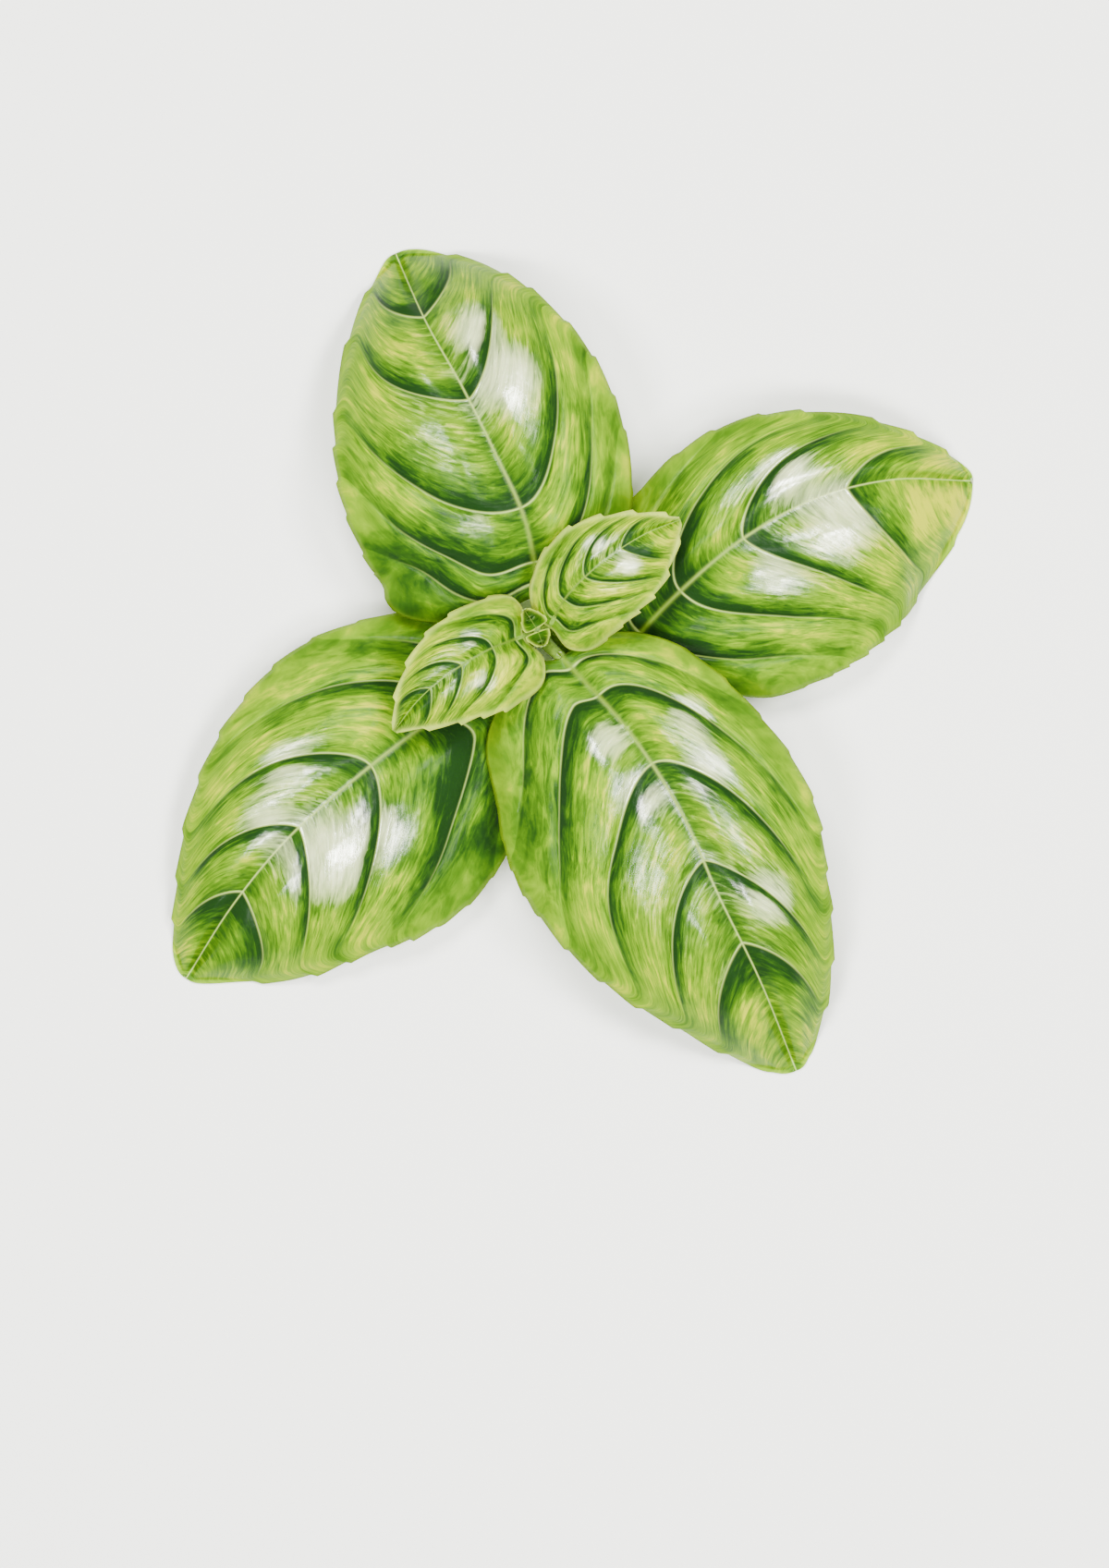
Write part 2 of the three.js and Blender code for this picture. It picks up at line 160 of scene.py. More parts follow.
# What all blades share, sizes in millimetres. A side vein fans out fully once it starts a few VEIN_FAN
# from the base, PILLOW_SLOPE is a pillow's height for its width, ROW_CROWDING draws rows to the veins,
# and TOOTH_BACK is how much of a tooth is its short back. A step of 1 in the UV map is UV_MM of leaf.
BLADE_END_WIDTH = 0.4
VEIN_FAN = 0.045
PILLOW_SLOPE = 0.16
ROW_CROWDING = 0.11
VEIN_CORD = 0.12
MIDRIB_CORD = 0.3
VEIN_GROOVE = 0.14
TOOTH_BACK = 0.12
WELD = 0.002
UV_MM = 10
HALVES_APART = 100

# What the skins need to know at each point of a blade: whether it lies on a side vein or the midrib,
# the painted light and shade across its part of a pillow, the painted shade of a side vein's furrow, how
# near the margin, how far from base to tip, how glossy, which also sets a painted highlight, how much
# painted shade or light from the shaded patches, and how far out from the midrib.
FACTS = ("vein", "rib", "crest", "painted_furrow_shade", "margin", "reach", "crown", "shade", "out")


def half_width(widths, t):
    spaced = [BLADE_END_WIDTH, *widths, BLADE_END_WIDTH]
    angle = math.acos(max(-1.0, min(1.0, 1 - 2 * t)))
    return max(BLADE_END_WIDTH, along(spaced, angle / math.pi * (len(spaced) - 1)))


def vein_climb(form, start, out):
    """How far along the blade the side vein from `start` is when it is `out` of the way to the margin."""
    fan = 1 - math.exp(-start / VEIN_FAN)
    bend = 1.15 + 3.2 * math.exp(-start / 0.19)
    return start + form["climb"] * (1 - start) * fan * out ** bend * (1 - 0.3 * out ** 8)


def zone_rows(leaf, form):
    """Rows of the mesh follow the side veins and crowd together beside them."""
    zones = [0, *leaf["veins"], 1]
    rows = []
    for number, (low, high) in enumerate(zip(zones, zones[1:])):
        for k in range(form["rows_a_zone"]):
            step = k / form["rows_a_zone"]
            share = step - ROW_CROWDING * math.sin(2 * math.pi * step)
            eased = share
            if number == 0:
                eased = share ** 1.6
            if number == len(zones) - 2:
                eased = 1 - (1 - share) ** 1.4
            rows.append((low + (high - low) * eased, share, low, high))
    rows.append((1, 0, 1, 1))
    return rows


def blade_point(leaf, form, row, side, seed):
    """The upper face's point in millimetres, the way it faces, its facts and its place in the UV map."""
    start, share, low, high = row
    out = abs(side)
    sign = 1 if side > 0 else -1
    widths = leaf["left"] if side > 0 else leaf["right"]
    t = min(1.0, vein_climb(form, start, out))
    midrib = leaf["midrib"]
    last = len(midrib) - 1
    middle = along(midrib, t * last)
    onward = along(midrib, min(1, t + 0.02) * last) - along(midrib, max(0, t - 0.02) * last)
    ahead = Vector((onward.x, onward.y, 0)).normalized()
    across = Vector((-ahead.y, ahead.x, 0))
    width = half_width(widths, t)
    length = leaf["length"]
    swell = form["swell"] * min(1, width / 10) * smooth(t / 0.2)
    apart = (vein_climb(form, high, out) - vein_climb(form, low, out)) * length
    climbed = vein_climb(form, start, out + 0.01) - vein_climb(form, start, out)
    slant = math.hypot(1, climbed * length / (0.01 * width))
    pillow = min(form["pillow"], PILLOW_SLOPE * apart / slant)
    crest = 1 - abs(2 * share - 1) ** 2.2
    span = smooth(out / 0.25) * (1 - out ** 4)
    lobe = leaf["lobes"][0 if side > 0 else 1] * smooth(width * out / leaf["lobe_reach"])
    point = middle + across * (width * side) - ahead * (lobe * (1 - smooth(t / 0.3)))
    point.z += math.sin(math.pi * out ** 0.8) * swell - form["droop"] * width * out ** 2.2
    point.z += pillow * crest * span

    # the vein's own cord in its furrow, and the midrib's
    nearest = min(share, 1 - share)
    vein_distance = nearest * apart / slant
    from_midrib = out * width
    beside_vein = (low > 0 and share < 0.5) or (high < 1 and share >= 0.5)
    cord_width = form["vein_width"] * (1 - 0.5 * out) * (1 - 0.4 * t)
    vein = 0.0
    if beside_vein:
        vein = math.exp(-(vein_distance / cord_width) ** 2) * (1 - smooth((out - 0.6) / 0.35))
    rib_width = form["midrib_width"] * (0.2 + 0.8 * (1 - t) ** 2.2)
    rib = math.exp(-(from_midrib / rib_width) ** 2)
    cord = VEIN_CORD * vein * (1 - rib) + MIDRIB_CORD * rib * (1 - t) * form["midrib_width"]
    groove = VEIN_GROOVE * math.exp(-((vein_distance / (2.6 * cord_width)) ** 2)) * span * beside_vein
    point.z += cord - groove

    # natural unevenness: broad waves, and a finer crease here and there along the flesh
    spot = Vector((point.x, point.y, seed * 17.0))
    waves = noise.noise(spot / 8.0) + 0.35 * noise.noise(spot / 2.6)
    point.z += form["unevenness"] * waves * smooth(out / 0.15)
    point.z += 0.25 * form["unevenness"] * noise.noise(spot / 1.3) * crest * span

    # teeth, each a long slope towards the tip and a short back
    reached = vein_climb(form, start, 1) * length
    phase = (reached / form["pitch"] + 0.3 * noise.noise(Vector((reached / 9, sign * 5, seed)))) % 1.0
    rise = phase ** 1.3 if phase < 1 - TOOTH_BACK else 0.847 * (1 - phase) / TOOTH_BACK
    tooth = form["tooth"] * rise * max(0.0, (out - 0.93) / 0.07) ** 1.5
    tooth *= smooth(reached / length / 0.1) * smooth((1 - reached / length) / 0.05)
    point += (across * sign + ahead * 0.9) * tooth

    slope = math.pi * math.cos(math.pi * max(out, 0.02) ** 0.8) * swell / width
    slope -= 2.2 * form["droop"] * out ** 1.2
    normal = onward.cross(across + Vector((0, 0, slope * sign))).normalized()

    # the facts: how far the margin is, where the painted shade beside each vein wanders, and the patches of
    # painted shade and highlight
    widening = half_width(widths, min(1, t + 0.01)) - half_width(widths, max(0, t - 0.01))
    gap_to_margin = (1 - out) * width / math.hypot(1, widening / (0.02 * length))
    wander = noise.noise(Vector((t * length / 6, sign * 3 + out * width / 14, seed)))
    # painted light and shade across each pillow: darkest just past each side vein on its tip side, lighter
    # towards the next vein and a little darker again just before it, darker beside the midrib and on low
    # pillows
    painted_pillow_light = smooth(share / (0.4 + 0.3 * wander)) if low > 0 else 0.55 + 0.25 * share
    painted_pillow_light *= (1 - 0.3 * smooth((share - 0.72) / 0.28)) * (0.5 + 0.5 * smooth(from_midrib / 3))
    painted_pillow_light *= 0.6 + 0.4 * min(1.0, pillow / form["pillow"])
    # painted shade in the furrow just past each side vein on its tip side
    painted_furrow_shade = math.exp(-share * apart / slant / (0.05 * apart / slant + 0.35)) * (low > 0)
    shade, gloss_and_highlight_patches = (
        sum(strength * math.exp(-((point.x - x) ** 2 + (point.y - y) ** 2) / radius ** 2)
            for x, y, radius, strength in leaf.get(patches, ()))
        for patches in ("shaded", "gloss_and_highlight_patches"))
    # crown: mid-blade away from the margin and on the gloss and highlight patches, where the cuticle is
    # glossiest and a pale highlight is painted into the colour
    crown = math.exp(-((t - 0.56) / 0.33) ** 2) * (1 - smooth((out - 0.42) / 0.45))
    crown = smooth(share / 0.25) * min(1.3, 0.55 * crown + 1.25 * gloss_and_highlight_patches)
    facts = {
        "vein": vein * (1 - 0.5 * smooth(out / 0.7)),
        "rib": rib,
        # the painted light and shade of the pillows, with less painted shade towards the margin
        "crest": painted_pillow_light + (1 - painted_pillow_light) * 0.6 * smooth((out - 0.35) / 0.55),
        "painted_furrow_shade": painted_furrow_shade * (1 - smooth((out - 0.5) / 0.4)),
        "margin": math.exp(-(gap_to_margin / form["pale_margin"]) ** 1.5),
        "reach": t,
        "crown": crown,
        "shade": shade,
        "out": out,
        "flesh": min(1.0, 0.42 + 0.58 * max(rib * (1 - t) ** 0.7, 0.55 * vein * (1 - t))),
    }
    place = (math.hypot(width * out, length * (t - start)) / UV_MM,
             (start * length + HALVES_APART * (sign > 0)) / UV_MM)
    return point, normal, facts, place


def add_piece(name, mesh):
    """Turns a working mesh into an object of the scene."""
    data = bpy.data.meshes.new(name)
    mesh.to_mesh(data)
    mesh.free()
    piece = bpy.data.objects.new(name, data)
    bpy.context.scene.collection.objects.link(piece)
    return piece


def grow_blade(name, leaf, form, seed):
    """A grid laid out along the veins and lifted into the blade's form, thickened downwards afterwards."""
    leaf = {**leaf, "midrib": [Vector(p) for p in leaf["midrib"]]}
    plan = [Vector((p.x, p.y)) for p in leaf["midrib"]]
    leaf["length"] = sum((b - a).length for a, b in zip(plan, plan[1:]))
    rows = zone_rows(leaf, form)
    half = form["half_columns"]
    sides = [math.copysign((abs(k) / half) ** 1.35, k) if k else 0.0 for k in range(-half, half + 1)]
    mesh = bmesh.new()
    bmesh.ops.create_grid(mesh, x_segments=len(rows) - 1, y_segments=len(sides) - 1, size=1)
    layers = {key: mesh.verts.layers.float.new(key) for key in FACTS}
    flesh = mesh.verts.layers.deform.verify()
    uv = mesh.loops.layers.uv.new("blade")
    places = {}
    for vert in mesh.verts:
        i = round((vert.co.x + 1) / 2 * (len(rows) - 1))
        j = round((vert.co.y + 1) / 2 * (len(sides) - 1))
        point, normal, facts, place = blade_point(leaf, form, rows[i], sides[j], seed)
        depth = form["rib_depth"] * facts["flesh"]
        point += normal * (form["thickness"] - form["reach_down"])
        point.z = max(point.z, depth + 0.02)
        vert.co = AXIS + point * MM
        for key, layer in layers.items():
            vert[layer] = facts[key]
        vert[flesh][0] = facts["flesh"]
        places[vert] = place
    for face in mesh.faces:
        face.smooth = True
        for loop in face.loops:
            loop[uv].uv = places[loop.vert]
    bmesh.ops.remove_doubles(mesh, verts=mesh.verts, dist=WELD * MM)
    piece = add_piece(name, mesh)
    piece.vertex_groups.new(name="flesh")
    body = piece.modifiers.new("flesh", "SOLIDIFY")
    body.thickness = form["rib_depth"] * MM
    body.offset = -1
    body.vertex_group = "flesh"
    body.thickness_vertex_group = 0
    body.material_offset = 1
    return piece


def colour(code):
    """An sRGB hex value as linear red, green, blue and alpha."""
    parts = [int(code[i:i + 2], 16) / 255 for i in (1, 3, 5)]
    return (*(c / 12.92 if c <= 0.04045 else ((c + 0.055) / 1.055) ** 2.4 for c in parts), 1.0)


def add_node(tree, kind, settings=None, inputs=None):
    """Adds a node. Settings are its own values; inputs are numbers, colours, or sockets to link from."""
    node = tree.nodes.new(kind)
    for key, value in (settings or {}).items():
        setattr(node, key, value)
    for key, value in (inputs or {}).items():
        if isinstance(value, bpy.types.NodeSocket):
            tree.links.new(value, node.inputs[key])
        else:
            node.inputs[key].default_value = value
    return node


def shade_steps(node, steps):
    """Sets a colour ramp's stops, each a position and a hex colour."""
    ramp = node.color_ramp
    while len(ramp.elements) < len(steps):
        ramp.elements.new(0.5)
    for element, (position, code) in zip(ramp.elements, steps):
        element.position = position
        element.color = colour(code)


def new_material(name):
    material = bpy.data.materials.new(name)
    material.use_nodes = True
    material.node_tree.nodes.clear()
    return material


def mixed(tree, share, first, second):
    """A blend of two colours: all of the first at share 0, all of the second at 1."""
    return add_node(tree, "ShaderNodeMix", {"data_type": "RGBA"}, {
        0: share, 6: first, 7: second}).outputs[2]


# Streaks are STREAK_STRETCH times as long as they are wide. The others are sizes in millimetres.
STREAK_STRETCH = 5
CLOUD_SIZE = 7
PORE_SIZE = 0.9
RELIEF_DEPTH = 0.12


# Fresh basil leaf, upper face: a thin clear cuticle over soft green flesh that is brushed lengthwise with
# lighter and darker streaks. Painted shade darkens it beside the veins and on part of each pillow, painted
# light turns the rest of the pillows yellow-green, with pale veins and margin, and where the crowns of the
# pillows are glossiest a pale painted highlight lies in the colour.
def upper_skin(name, flesh_steps, vein_code, midrib_code, margin_code, margin_strength, streak_mm):
    material = new_material(name)
    tree = material.node_tree

    def arithmetic(kind, *values, clamp=False):
        settings = {"operation": kind, "use_clamp": clamp}
        return add_node(tree, "ShaderNodeMath", settings, dict(enumerate(values))).outputs[0]

    def swing(texture, strength):
        """Turns a texture's values, which lie around a half, into a swing about nought."""
        return arithmetic("MULTIPLY", arithmetic("SUBTRACT", texture, 0.5), strength)

    fact = {key: add_node(tree, "ShaderNodeAttribute", {"attribute_name": key}).outputs["Fac"]
            for key in FACTS}

    # fine streaks and broad washes that run with the veins, clouds over the leaf, and pores
    place = add_node(tree, "ShaderNodeUVMap", {"uv_map": "blade"}).outputs["UV"]
    scale = (UV_MM / (STREAK_STRETCH * streak_mm), UV_MM / streak_mm, 1)
    lengthwise = add_node(tree, "ShaderNodeMapping", inputs={
        "Vector": place, "Scale": scale}).outputs["Vector"]
    streaks = add_node(tree, "ShaderNodeTexNoise", inputs={
        "Vector": lengthwise, "Scale": 1.0, "Detail": 4.0, "Roughness": 0.62,
        "Distortion": 1.1}).outputs["Fac"]
    stretched = add_node(tree, "ShaderNodeMapping", inputs={
        "Vector": lengthwise, "Scale": (0.5, 0.3, 1), "Location": (3, 7, 0)}).outputs["Vector"]
    washes = add_node(tree, "ShaderNodeTexNoise", inputs={
        "Vector": stretched, "Scale": 1.0, "Detail": 3.0, "Roughness": 0.6,
        "Distortion": 1.5}).outputs["Fac"]
    where = add_node(tree, "ShaderNodeTexCoord").outputs["Object"]
    cloud = add_node(tree, "ShaderNodeTexNoise", inputs={
        "Vector": where, "Scale": 1 / (CLOUD_SIZE * MM), "Detail": 2.0}).outputs["Fac"]
    pores = add_node(tree, "ShaderNodeTexVoronoi", {"feature": "SMOOTH_F1"}, {
        "Vector": where, "Scale": 1 / (PORE_SIZE * MM), "Smoothness": 0.7}).outputs["Distance"]

    # the flesh: how light it is at each point, with painted light and shade from the pillows, the furrows
    # and the shaded patches, then its green; the streaks calm down near the margin
    light = arithmetic("MULTIPLY_ADD", fact["crest"], 0.5, 0.15)
    calmer = add_node(tree, "ShaderNodeMapRange", {"interpolation_type": "SMOOTHSTEP"}, {
        "Value": fact["out"], "From Min": 0.6, "From Max": 1.0,
        "To Min": 1.1, "To Max": 0.35}).outputs["Result"]
    light = arithmetic("ADD", light, swing(streaks, calmer))
    light = arithmetic("ADD", light, arithmetic("ADD", swing(washes, 0.8), swing(cloud, 0.6)))
    # painted shade from the shaded patches, and painted light where their strength is below 0
    light = arithmetic("SUBTRACT", light, fact["shade"])
    # painted shade in the furrows beside the side veins
    light = arithmetic("SUBTRACT", light, arithmetic("MULTIPLY", fact["painted_furrow_shade"], 0.34), clamp=True)
    flesh = add_node(tree, "ShaderNodeValToRGB", inputs={"Fac": light})
    shade_steps(flesh, flesh_steps)

    # pale side veins, a midrib that turns as pale on its way to the tip, and a pale margin
    cords = arithmetic("MULTIPLY", arithmetic("POWER", fact["vein"], 1.5), 0.8, clamp=True)
    veined = mixed(tree, cords, flesh.outputs["Color"], colour(vein_code))
    onward = add_node(tree, "ShaderNodeMapRange", inputs={
        "Value": fact["reach"], "From Min": 0.1, "From Max": 0.75}).outputs["Result"]
    midrib = mixed(tree, onward, colour(midrib_code), colour(vein_code))
    ribs = arithmetic("MULTIPLY", arithmetic("POWER", fact["rib"], 1.4), 0.85, clamp=True)
    veined = mixed(tree, ribs, veined, midrib)
    rim = arithmetic("MULTIPLY", fact["margin"], margin_strength, clamp=True)
    rimmed = mixed(tree, rim, veined, colour(margin_code))

    # the cuticle: glossiest on the crowns, in brushed patches, with a pale painted highlight in the colour
    # where it is waxiest
    brushed = arithmetic("MULTIPLY", arithmetic("ADD", streaks, washes), 1.1)
    gloss_and_painted_highlight = arithmetic("MULTIPLY", fact["crown"], brushed)
    waxy = arithmetic("SUBTRACT", gloss_and_painted_highlight, 0.42, clamp=True)
    waxy = arithmetic("MULTIPLY", waxy, arithmetic("SUBTRACT", 1.0, fact["rib"], clamp=True))
    gloss = arithmetic("MULTIPLY_ADD", waxy, 2.8, 0.04)
    # painted highlight: the colour turns pale where the crowns are glossiest
    with_painted_highlight = mixed(tree, arithmetic("SUBTRACT", gloss_and_painted_highlight, 0.6, clamp=True), rimmed, colour("#DDE8AA"))
    rough = add_node(tree, "ShaderNodeMapRange", inputs={
        "Value": streaks, "From Min": 0.3, "From Max": 0.7, "To Min": 0.16, "To Max": 0.3}).outputs["Result"]
    grain = arithmetic("ADD", streaks, arithmetic("MULTIPLY", pores, 0.35))
    bump = add_node(tree, "ShaderNodeBump", inputs={
        "Strength": 0.6, "Distance": RELIEF_DEPTH * MM, "Height": grain}).outputs["Normal"]
    skin = add_node(tree, "ShaderNodeBsdfPrincipled", inputs={
        "Base Color": with_painted_highlight, "Roughness": rough, "Normal": bump, "IOR": 1.5, "Specular IOR Level": gloss,
        "Subsurface Weight": 0.12, "Subsurface Scale": 0.4 * MM, "Subsurface Radius": (0.5, 1.0, 0.15)})
    add_node(tree, "ShaderNodeOutputMaterial", inputs={"Surface": skin.outputs[0]})
    return material


# Fresh basil leaf, lower face: matt and paler, with the ribs lighter still.
def lower_skin(name, flesh_code, rib_code):
    material = new_material(name)
    tree = material.node_tree
    vein = add_node(tree, "ShaderNodeAttribute", {"attribute_name": "vein"}).outputs["Fac"]
    rib = add_node(tree, "ShaderNodeAttribute", {"attribute_name": "rib"}).outputs["Fac"]
    where = add_node(tree, "ShaderNodeTexCoord").outputs["Object"]
    mottle = add_node(tree, "ShaderNodeTexNoise", inputs={
        "Vector": where, "Scale": 1 / (2.5 * MM), "Detail": 3.0}).outputs["Fac"]
    flesh = mixed(tree, mottle, colour(flesh_code), colour("#9DB765"))
    cords = add_node(tree, "ShaderNodeMath", {"operation": "MAXIMUM"}, {0: vein, 1: rib}).outputs[0]
    veined = mixed(tree, cords, flesh, colour(rib_code))
    cells = add_node(tree, "ShaderNodeTexVoronoi", inputs={
        "Vector": where, "Scale": 1 / (0.7 * MM)}).outputs["Distance"]
    bump = add_node(tree, "ShaderNodeBump", inputs={
        "Strength": 0.4, "Distance": 0.08 * MM, "Height": cells}).outputs["Normal"]
    skin = add_node(tree, "ShaderNodeBsdfPrincipled", inputs={
        "Base Color": veined, "Roughness": 0.6, "Normal": bump, "IOR": 1.42})
    add_node(tree, "ShaderNodeOutputMaterial", inputs={"Surface": skin.outputs[0]})
    return material


mature_skin = upper_skin(
    "fresh_basil_leaf_upper_face",
    [(0.0, "#163010"), (0.2, "#26480F"), (0.42, "#426A0A"), (0.66, "#6C9004"), (0.92, "#B0B606")],
    "#B2C866", "#66821C", "#86A81C", 0.55, 0.9)
mature_back = lower_skin("fresh_basil_leaf_lower_face", "#7E9F4C", "#C3D39A")
for seed, (node, leaf) in enumerate(LARGE_LEAVES.items()):
    blade = grow_blade(node + "_blade", leaf, LARGE_BLADE, seed)
    blade.data.materials.append(mature_skin)
    blade.data.materials.append(mature_back)
    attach(blade, "root")
    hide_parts(node)


# The two small leaves nearest the tip. They are younger, softer and yellower, with clear pale margins,
# and stand nearly level over the large ones on very short stalks.
SMALL_LEAVES = {
    "leaf_small_right": {
        "stalk": [(0.4, 0, 19.4), (1.1, 0.1, 20), (1.8, 0.3, 20.8)],
        "midrib": [(1.8, 0.3, 21.2), (4.4, 4.8, 24.6), (8.1, 8.6, 26.2),
                   (12.2, 11.8, 26.5), (16.7, 14.5, 25.6), (21.6, 16.5, 23.4)],
        "left": [3.2, 5.4, 7.1, 6.9, 4.8, 2.5, 0.9],
        "right": [6.4, 8.5, 9.1, 9.1, 8.1, 5.6, 2.2],
        "veins": [0.06, 0.18, 0.355, 0.62],
        "lobes": (0, 1.8),
        "lobe_reach": 4.5,
        "gloss_and_highlight_patches": [(13.9, 10, 1.5, 0.6), (8.5, 12.6, 1.4, 0.5)],
    },
    "leaf_small_left": {
        "stalk": [(-0.4, -0.2, 19.4), (-1.2, -0.6, 20), (-2, -1, 20.6)],
        "midrib": [(-2, -1, 21), (-6.6, -2.8, 24), (-10.9, -5.2, 25),
                   (-14.9, -8, 24.6), (-18.5, -11.4, 23), (-21.5, -15.4, 20.4)],
        "left": [6.9, 8.8, 9.2, 8, 6.4, 3.9, 1.1],
        "right": [5.8, 7.2, 7.4, 6.7, 4.7, 2.5, 0.8],
        "veins": [0.05, 0.2, 0.42, 0.66],
        "lobes": (2, 1.8),
        "lobe_reach": 4.5,
        "gloss_and_highlight_patches": [(-9.8, -1.3, 1.6, 0.6), (-7.5, -8.1, 1.5, 0.6)],
    },
}
SMALL_BLADE = {
    "droop": 0.2, "swell": 0.5, "pillow": 0.7, "climb": 0.81, "tooth": 0.5, "pitch": 4.2,
    "reach_down": 0.36, "thickness": 0.34, "rib_depth": 0.7, "vein_width": 0.13, "midrib_width": 0.26,
    "rows_a_zone": 32, "half_columns": 32, "unevenness": 0.08, "pale_margin": 0.34,
}
young_skin = upper_skin(
    "young_basil_leaf_upper_face",
    [(0.0, "#14300E"), (0.22, "#2B4E0C"), (0.46, "#587E04"), (0.7, "#94A608"), (0.95, "#CCCC2C")],
    "#86A440", "#566F1A", "#BCCC54", 0.75, 0.55)
young_back = lower_skin("young_basil_leaf_lower_face", "#93B25A", "#CFDCA6")
for seed, (node, leaf) in enumerate(SMALL_LEAVES.items(), 10):
    blade = grow_blade(node + "_blade", leaf, SMALL_BLADE, seed)
    blade.data.materials.append(young_skin)
    blade.data.materials.append(young_back)
    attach(blade, "root")
    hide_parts(node)


# The bud: two tiny leaves at the very tip, cupped upwards and not yet unfolded, without side veins.
BUD_LEAVES = {
    "bud_leaf_back": {
        "midrib": [(-0.1, 0.15, 22.4), (-0.4, 0.65, 22.6), (-0.75, 1.2, 23),
                   (-1.1, 1.75, 23.7), (-1.5, 2.3, 24.6), (-1.85, 2.85, 25.6)],
        "left": [1.5, 1.7, 1.7, 1.5, 1.1, 0.7, 0.4],
        "right": [1.8, 2, 1.9, 1.6, 1.2, 0.8, 0.4],
        "veins": [],
        "lobes": (0, 0),
        "lobe_reach": 1,
    },
    "bud_leaf_front": {
        "midrib": [(0.2, -0.4, 22.4), (0.35, -0.8, 22.6), (0.5, -1.25, 23),
                   (0.65, -1.7, 23.6), (0.8, -2.1, 24.3), (0.95, -2.5, 25.1)],
        "left": [1.5, 1.6, 1.5, 1.3, 1, 0.7, 0.4],
        "right": [1.8, 2, 1.9, 1.6, 1.2, 0.8, 0.4],
        "veins": [],
        "lobes": (0, 0),
        "lobe_reach": 1,
    },
}
BUD_BLADE = {
    "droop": -0.45, "swell": 0.0, "pillow": 0.01, "climb": 0.25, "tooth": 0.16, "pitch": 1.0,
    "reach_down": 0.3, "thickness": 0.25, "rib_depth": 0.3, "vein_width": 0.1, "midrib_width": 0.1,
    "rows_a_zone": 48, "half_columns": 20, "unevenness": 0.02, "pale_margin": 0.2,
}
bud_skin = upper_skin(
    "basil_bud_upper_face",
    [(0.0, "#0E2208"), (0.25, "#1A3808"), (0.5, "#2E5208"), (0.75, "#54740A"), (0.95, "#8C9A20")],
    "#8CA040", "#4C6C10", "#A4B83C", 0.8, 0.3)
for seed, (node, leaf) in enumerate(BUD_LEAVES.items(), 20):
    blade = grow_blade(node + "_blade", leaf, BUD_BLADE, seed)
    blade.data.materials.append(bud_skin)
    blade.data.materials.append(young_back)
    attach(blade, "root")
    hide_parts(node)


# The stalks. Each is a pale, slightly channelled green cord that leaves a swelling of the stem and
# runs on under its blade as the thick start of the midrib, thinning as it goes.
# BLADE_START is how far along the cord its blade starts.
STALK_SIDES = 20
STALK_STEPS = 44
BLADE_START = 0.62


def close_tube(mesh, weld):
    """Welds a rolled-up grid along its seam and closes its two ends with flat faces."""
    bmesh.ops.remove_doubles(mesh, verts=mesh.verts, dist=weld * MM)
    bmesh.ops.holes_fill(mesh, edges=[e for e in mesh.edges if e.is_boundary])
    bmesh.ops.recalc_face_normals(mesh, faces=mesh.faces)
    for face in mesh.faces:
        face.smooth = len(face.verts) <= 4


def stalk_radius(u, thick, thin):
    """The stalk thins out to where its blade starts, and again as the midrib's start below it."""
    if u < BLADE_START:
        return thick + (thin - thick) * smooth(u * 1.6)
    return thin * (1 - 0.6 * smooth((u - BLADE_START) / (1 - BLADE_START)))


def grow_stalk(name, leaf, thick, thin, run_on):
    midrib = [Vector(p) for p in leaf["midrib"]]
    route = [Vector(p) for p in leaf["stalk"][:-1]]
    route += [along(midrib, t * (len(midrib) - 1)) - Vector((0, 0, 0.95 * thin)) for t in run_on]
    last = len(route) - 1
    mesh = bmesh.new()
    bmesh.ops.create_grid(mesh, x_segments=STALK_STEPS, y_segments=STALK_SIDES, size=1)
    for vert in mesh.verts:
        u = (vert.co.x + 1) / 2
        angle = (vert.co.y + 1) * math.pi
        position = u * last
        centre = along(route, position)
        onward = along(route, min(position + 0.05, last)) - along(route, max(position - 0.05, 0))
        onward.normalize()
        across = Vector((-onward.y, onward.x, 0)).normalized()
        upward = onward.cross(across)
        upward = upward if upward.z > 0 else -upward
        flare = 1 + 0.35 * math.exp(-(u / 0.05) ** 2)
        channel = 1 - 0.22 * math.exp(-((angle - math.pi / 2) / 0.45) ** 2)
        radius = stalk_radius(u, thick, thin) * (flare * channel)
        vert.co = AXIS + (centre + (across * math.cos(angle) + upward * math.sin(angle)) * radius) * MM
    close_tube(mesh, 0.01)
    return add_piece(name, mesh)


# Basil stem and stalk: juicy green skin with a faint lengthwise grain, satin rather than glossy.
stem_skin = new_material("fresh_basil_stem")
tree = stem_skin.node_tree
where = add_node(tree, "ShaderNodeTexCoord").outputs["Object"]
stretched = add_node(tree, "ShaderNodeMapping", inputs={
    "Vector": where, "Scale": (1, 1, 0.2)}).outputs["Vector"]
fibres = add_node(tree, "ShaderNodeTexNoise", inputs={
    "Vector": stretched, "Scale": 1 / (0.5 * MM), "Detail": 3.0}).outputs["Fac"]
tint = add_node(tree, "ShaderNodeValToRGB", inputs={"Fac": fibres})
shade_steps(tint, [(0.25, "#4E7018"), (0.75, "#7C9A34")])
relief = add_node(tree, "ShaderNodeBump", inputs={
    "Strength": 0.5, "Distance": 0.08 * MM, "Height": fibres}).outputs["Normal"]
skin = add_node(tree, "ShaderNodeBsdfPrincipled", inputs={
    "Base Color": tint.outputs["Color"], "Roughness": 0.42, "Normal": relief, "IOR": 1.4,
    "Specular IOR Level": 0.3, "Subsurface Weight": 0.15, "Subsurface Scale": 0.6 * MM,
    "Subsurface Radius": (0.6, 1.0, 0.2)})
add_node(tree, "ShaderNodeOutputMaterial", inputs={"Surface": skin.outputs[0]})

